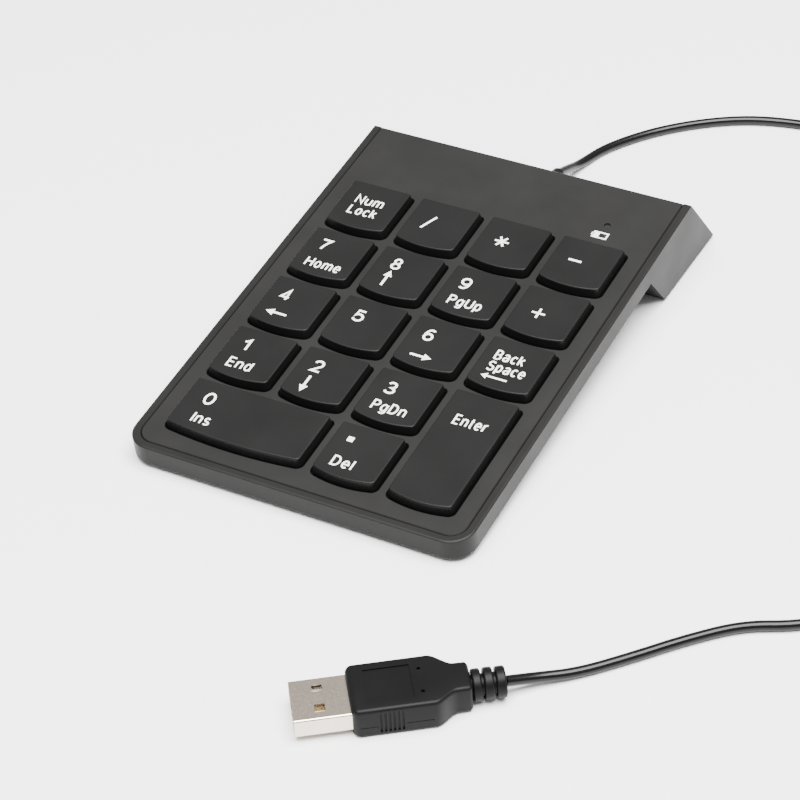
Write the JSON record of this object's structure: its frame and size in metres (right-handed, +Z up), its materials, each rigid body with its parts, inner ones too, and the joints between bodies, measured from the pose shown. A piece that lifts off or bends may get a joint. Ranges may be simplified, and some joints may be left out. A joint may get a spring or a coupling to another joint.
{
  "type": "numeric keypad",
  "caption": "Thin sloping numeric keypad on a deep rear foot, with eighteen low sprung keys, a status light and a thin flexible lead ending in a flat rectangular plug.",
  "frame": {"origin": "under the middle of the keypad, on the surface that it stands on", "axes": "+X to the user's right, +Y away from the user towards the rear foot and the lead, +Z up"},
  "size_m": [0.1759, 0.2527, 0.0186],
  "materials": {
    "case_plastic": "satin, fine spark-eroded texture",
    "panel_plastic": "matte, fine spark-eroded texture",
    "key_plastic": "satin, fine texture, pale printed legends",
    "guide_plastic": "moulded",
    "plate_steel": "zinc plated",
    "membrane_film": "clear polyester with printed silver tracks",
    "dome_rubber": "translucent silicone",
    "board_laminate": "green solder mask",
    "chip_epoxy": "moulded epoxy",
    "led_resin": "clear resin over a dark hole",
    "screw_steel": "nickel plated",
    "spring_wire": "drawn wire",
    "pad_rubber": "matte",
    "wire_insulation": "smooth",
    "cord_jacket": "smooth, slightly glossy",
    "plug_plastic": "fine matte texture",
    "plug_nickel": "nickel plated",
    "tongue_plastic": "moulded",
    "contact_gold": "gold flash"
  },
  "bodies": {
    "case": {"bottom_case": "case_plastic", "top_panel": "panel_plastic", "case_screws": "screw_steel", "rubber_feet": "pad_rubber", "guide_frame": "guide_plastic", "support_plate": "plate_steel", "membrane_bottom": "membrane_film", "membrane_spacer": "membrane_film", "membrane_top": "membrane_film", "rubber_domes": "dome_rubber", "circuit_board": "board_laminate", "membrane_clamp": "guide_plastic", "clamp_screws": "screw_steel", "controller_chip": "chip_epoxy", "board_components": "chip_epoxy", "status_led": "led_resin", "led_lens": "led_resin", "lead_wires": "wire_insulation", "cord_strain_relief": "cord_jacket", "cord_near": "cord_jacket", "cord_coil": "cord_jacket", "cord_far": "cord_jacket", "plug_shell": "plug_nickel", "plug_tongue": "tongue_plastic", "plug_contacts": "contact_gold", "plug_overmould": "plug_plastic", "plug_strain_relief": "plug_plastic"},
    "key_0": {"key_0": "key_plastic"},
    "key_1": {"key_1": "key_plastic"},
    "key_2": {"key_2": "key_plastic"},
    "key_3": {"key_3": "key_plastic"},
    "key_4": {"key_4": "key_plastic"},
    "key_5": {"key_5": "key_plastic"},
    "key_6": {"key_6": "key_plastic"},
    "key_7": {"key_7": "key_plastic"},
    "key_8": {"key_8": "key_plastic"},
    "key_9": {"key_9": "key_plastic"},
    "key_backspace": {"key_backspace": "key_plastic"},
    "key_decimal": {"key_decimal": "key_plastic"},
    "key_divide": {"key_divide": "key_plastic"},
    "key_enter": {"key_enter": "key_plastic"},
    "key_minus": {"key_minus": "key_plastic"},
    "key_multiply": {"key_multiply": "key_plastic"},
    "key_num_lock": {"key_num_lock": "key_plastic"},
    "key_plus": {"key_plus": "key_plastic"},
    "stabiliser_wire_0": {"stabiliser_wire_0": "spring_wire"},
    "stabiliser_wire_enter": {"stabiliser_wire_enter": "spring_wire"}
  },
  "joints": [
    {"name": "key_0_press", "type": "slide", "parent": "case", "child": "key_0", "axis": [0, -0.0993, 0.9951], "range_m": [-0.0016, 0], "stiffness_N_per_m": 300, "springref_m": 0.0015, "deforming": ["rubber_domes"]},
    {"name": "key_1_press", "type": "slide", "parent": "case", "child": "key_1", "axis": [0, -0.0993, 0.9951], "range_m": [-0.0016, 0], "stiffness_N_per_m": 300, "springref_m": 0.0015, "deforming": ["rubber_domes"]},
    {"name": "key_2_press", "type": "slide", "parent": "case", "child": "key_2", "axis": [0, -0.0993, 0.9951], "range_m": [-0.0016, 0], "stiffness_N_per_m": 300, "springref_m": 0.0015, "deforming": ["rubber_domes"]},
    {"name": "key_3_press", "type": "slide", "parent": "case", "child": "key_3", "axis": [0, -0.0993, 0.9951], "range_m": [-0.0016, 0], "stiffness_N_per_m": 300, "springref_m": 0.0015, "deforming": ["rubber_domes"]},
    {"name": "key_4_press", "type": "slide", "parent": "case", "child": "key_4", "axis": [0, -0.0993, 0.9951], "range_m": [-0.0016, 0], "stiffness_N_per_m": 300, "springref_m": 0.0015, "deforming": ["rubber_domes"]},
    {"name": "key_5_press", "type": "slide", "parent": "case", "child": "key_5", "axis": [0, -0.0993, 0.9951], "range_m": [-0.0016, 0], "stiffness_N_per_m": 300, "springref_m": 0.0015, "deforming": ["rubber_domes"]},
    {"name": "key_6_press", "type": "slide", "parent": "case", "child": "key_6", "axis": [0, -0.0993, 0.9951], "range_m": [-0.0016, 0], "stiffness_N_per_m": 300, "springref_m": 0.0015, "deforming": ["rubber_domes"]},
    {"name": "key_7_press", "type": "slide", "parent": "case", "child": "key_7", "axis": [0, -0.0993, 0.9951], "range_m": [-0.0016, 0], "stiffness_N_per_m": 300, "springref_m": 0.0015, "deforming": ["rubber_domes"]},
    {"name": "key_8_press", "type": "slide", "parent": "case", "child": "key_8", "axis": [0, -0.0993, 0.9951], "range_m": [-0.0016, 0], "stiffness_N_per_m": 300, "springref_m": 0.0015, "deforming": ["rubber_domes"]},
    {"name": "key_9_press", "type": "slide", "parent": "case", "child": "key_9", "axis": [0, -0.0993, 0.9951], "range_m": [-0.0016, 0], "stiffness_N_per_m": 300, "springref_m": 0.0015, "deforming": ["rubber_domes"]},
    {"name": "key_backspace_press", "type": "slide", "parent": "case", "child": "key_backspace", "axis": [0, -0.0993, 0.9951], "range_m": [-0.0016, 0], "stiffness_N_per_m": 300, "springref_m": 0.0015, "deforming": ["rubber_domes"]},
    {"name": "key_decimal_press", "type": "slide", "parent": "case", "child": "key_decimal", "axis": [0, -0.0993, 0.9951], "range_m": [-0.0016, 0], "stiffness_N_per_m": 300, "springref_m": 0.0015, "deforming": ["rubber_domes"]},
    {"name": "key_divide_press", "type": "slide", "parent": "case", "child": "key_divide", "axis": [0, -0.0993, 0.9951], "range_m": [-0.0016, 0], "stiffness_N_per_m": 300, "springref_m": 0.0015, "deforming": ["rubber_domes"]},
    {"name": "key_enter_press", "type": "slide", "parent": "case", "child": "key_enter", "axis": [0, -0.0993, 0.9951], "range_m": [-0.0016, 0], "stiffness_N_per_m": 300, "springref_m": 0.0015, "deforming": ["rubber_domes"]},
    {"name": "key_minus_press", "type": "slide", "parent": "case", "child": "key_minus", "axis": [0, -0.0993, 0.9951], "range_m": [-0.0016, 0], "stiffness_N_per_m": 300, "springref_m": 0.0015, "deforming": ["rubber_domes"]},
    {"name": "key_multiply_press", "type": "slide", "parent": "case", "child": "key_multiply", "axis": [0, -0.0993, 0.9951], "range_m": [-0.0016, 0], "stiffness_N_per_m": 300, "springref_m": 0.0015, "deforming": ["rubber_domes"]},
    {"name": "key_num_lock_press", "type": "slide", "parent": "case", "child": "key_num_lock", "axis": [0, -0.0993, 0.9951], "range_m": [-0.0016, 0], "stiffness_N_per_m": 300, "springref_m": 0.0015, "deforming": ["rubber_domes"]},
    {"name": "key_plus_press", "type": "slide", "parent": "case", "child": "key_plus", "axis": [0, -0.0993, 0.9951], "range_m": [-0.0016, 0], "stiffness_N_per_m": 300, "springref_m": 0.0015, "deforming": ["rubber_domes"]},
    {"name": "stabiliser_wire_0_turn", "type": "hinge", "parent": "case", "child": "stabiliser_wire_0", "pos_m": [-0.019, -0.04689, 0.00559], "axis": [1, 0, 0], "range_deg": [-1, 20.08]},
    {"name": "stabiliser_wire_enter_turn", "type": "hinge", "parent": "case", "child": "stabiliser_wire_enter", "pos_m": [0.034, -0.04291, 0.00598], "axis": [0, -0.9951, -0.0993], "range_deg": [-1, 20.08]}
  ],
  "couplings": [
    {"joint": "stabiliser_wire_0_turn", "follows": "key_0_press", "rad_per_m": -208.12},
    {"joint": "stabiliser_wire_enter_turn", "follows": "key_enter_press", "rad_per_m": -208.12}
  ]
}
